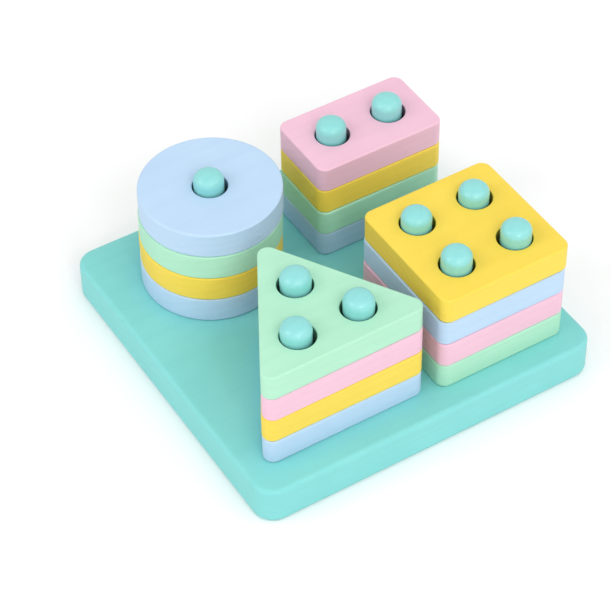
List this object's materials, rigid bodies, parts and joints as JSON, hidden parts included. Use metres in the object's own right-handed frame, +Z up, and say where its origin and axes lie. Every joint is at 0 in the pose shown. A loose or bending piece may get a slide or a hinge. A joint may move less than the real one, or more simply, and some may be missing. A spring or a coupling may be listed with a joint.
{
  "type": "shape stacking toy",
  "caption": "Square wooden board with upright domed pegs that hold stacks of flat round, rectangular, square and triangular blocks, each free to lift off.",
  "frame": {"origin": "middle of the board's underside, where it rests", "axes": "+Z up along the pegs, +X along the board's front side from the triangle stack to the square stack, +Y to the back"},
  "size_m": [0.136, 0.136, 0.0637],
  "materials": {
    "teal_board_paint": "satin water-based paint on solid wood",
    "teal_peg_paint": "satin water-based paint on a turned wooden peg",
    "blue_paint": "satin water-based paint on solid wood",
    "green_paint": "satin water-based paint on solid wood",
    "yellow_paint": "satin water-based paint on solid wood",
    "pink_paint": "satin water-based paint on solid wood"
  },
  "bodies": {
    "stand": {"base_board": "teal_board_paint", "round_peg": "teal_peg_paint", "rectangle_peg_left": "teal_peg_paint", "rectangle_peg_right": "teal_peg_paint", "square_peg_back_left": "teal_peg_paint", "square_peg_back_right": "teal_peg_paint", "square_peg_front_left": "teal_peg_paint", "square_peg_front_right": "teal_peg_paint", "triangle_peg_back": "teal_peg_paint", "triangle_peg_front_left": "teal_peg_paint", "triangle_peg_front_right": "teal_peg_paint"},
    "round_block_1": {"round_block_1": "blue_paint"},
    "round_block_2": {"round_block_2": "yellow_paint"},
    "round_block_3": {"round_block_3": "green_paint"},
    "round_block_4": {"round_block_4": "blue_paint"},
    "rectangle_block_1": {"rectangle_block_1": "blue_paint"},
    "rectangle_block_2": {"rectangle_block_2": "green_paint"},
    "rectangle_block_3": {"rectangle_block_3": "yellow_paint"},
    "rectangle_block_4": {"rectangle_block_4": "pink_paint"},
    "square_block_1": {"square_block_1": "green_paint"},
    "square_block_2": {"square_block_2": "pink_paint"},
    "square_block_3": {"square_block_3": "blue_paint"},
    "square_block_4": {"square_block_4": "yellow_paint"},
    "triangle_block_1": {"triangle_block_1": "blue_paint"},
    "triangle_block_2": {"triangle_block_2": "yellow_paint"},
    "triangle_block_3": {"triangle_block_3": "pink_paint"},
    "triangle_block_4": {"triangle_block_4": "green_paint"}
  },
  "joints": [
    {"name": "round_block_1_lift", "type": "slide", "parent": "stand", "child": "round_block_1", "axis": [0, 0, 1], "range_m": [0, 0.0494]},
    {"name": "round_block_2_lift", "type": "slide", "parent": "round_block_1", "child": "round_block_2", "axis": [0, 0, 1], "range_m": [0, 0.0391]},
    {"name": "round_block_3_lift", "type": "slide", "parent": "round_block_2", "child": "round_block_3", "axis": [0, 0, 1], "range_m": [0, 0.0287]},
    {"name": "round_block_4_lift", "type": "slide", "parent": "round_block_3", "child": "round_block_4", "axis": [0, 0, 1], "range_m": [0, 0.0183]},
    {"name": "rectangle_block_1_lift", "type": "slide", "parent": "stand", "child": "rectangle_block_1", "axis": [0, 0, 1], "range_m": [0, 0.0501]},
    {"name": "rectangle_block_2_lift", "type": "slide", "parent": "rectangle_block_1", "child": "rectangle_block_2", "axis": [0, 0, 1], "range_m": [0, 0.0398]},
    {"name": "rectangle_block_3_lift", "type": "slide", "parent": "rectangle_block_2", "child": "rectangle_block_3", "axis": [0, 0, 1], "range_m": [0, 0.0294]},
    {"name": "rectangle_block_4_lift", "type": "slide", "parent": "rectangle_block_3", "child": "rectangle_block_4", "axis": [0, 0, 1], "range_m": [0, 0.019]},
    {"name": "square_block_1_lift", "type": "slide", "parent": "stand", "child": "square_block_1", "axis": [0, 0, 1], "range_m": [0, 0.0504]},
    {"name": "square_block_2_lift", "type": "slide", "parent": "square_block_1", "child": "square_block_2", "axis": [0, 0, 1], "range_m": [0, 0.0401]},
    {"name": "square_block_3_lift", "type": "slide", "parent": "square_block_2", "child": "square_block_3", "axis": [0, 0, 1], "range_m": [0, 0.0297]},
    {"name": "square_block_4_lift", "type": "slide", "parent": "square_block_3", "child": "square_block_4", "axis": [0, 0, 1], "range_m": [0, 0.0193]},
    {"name": "triangle_block_1_lift", "type": "slide", "parent": "stand", "child": "triangle_block_1", "axis": [0, 0, 1], "range_m": [0, 0.0499]},
    {"name": "triangle_block_2_lift", "type": "slide", "parent": "triangle_block_1", "child": "triangle_block_2", "axis": [0, 0, 1], "range_m": [0, 0.0396]},
    {"name": "triangle_block_3_lift", "type": "slide", "parent": "triangle_block_2", "child": "triangle_block_3", "axis": [0, 0, 1], "range_m": [0, 0.0292]},
    {"name": "triangle_block_4_lift", "type": "slide", "parent": "triangle_block_3", "child": "triangle_block_4", "axis": [0, 0, 1], "range_m": [0, 0.0188]}
  ]
}
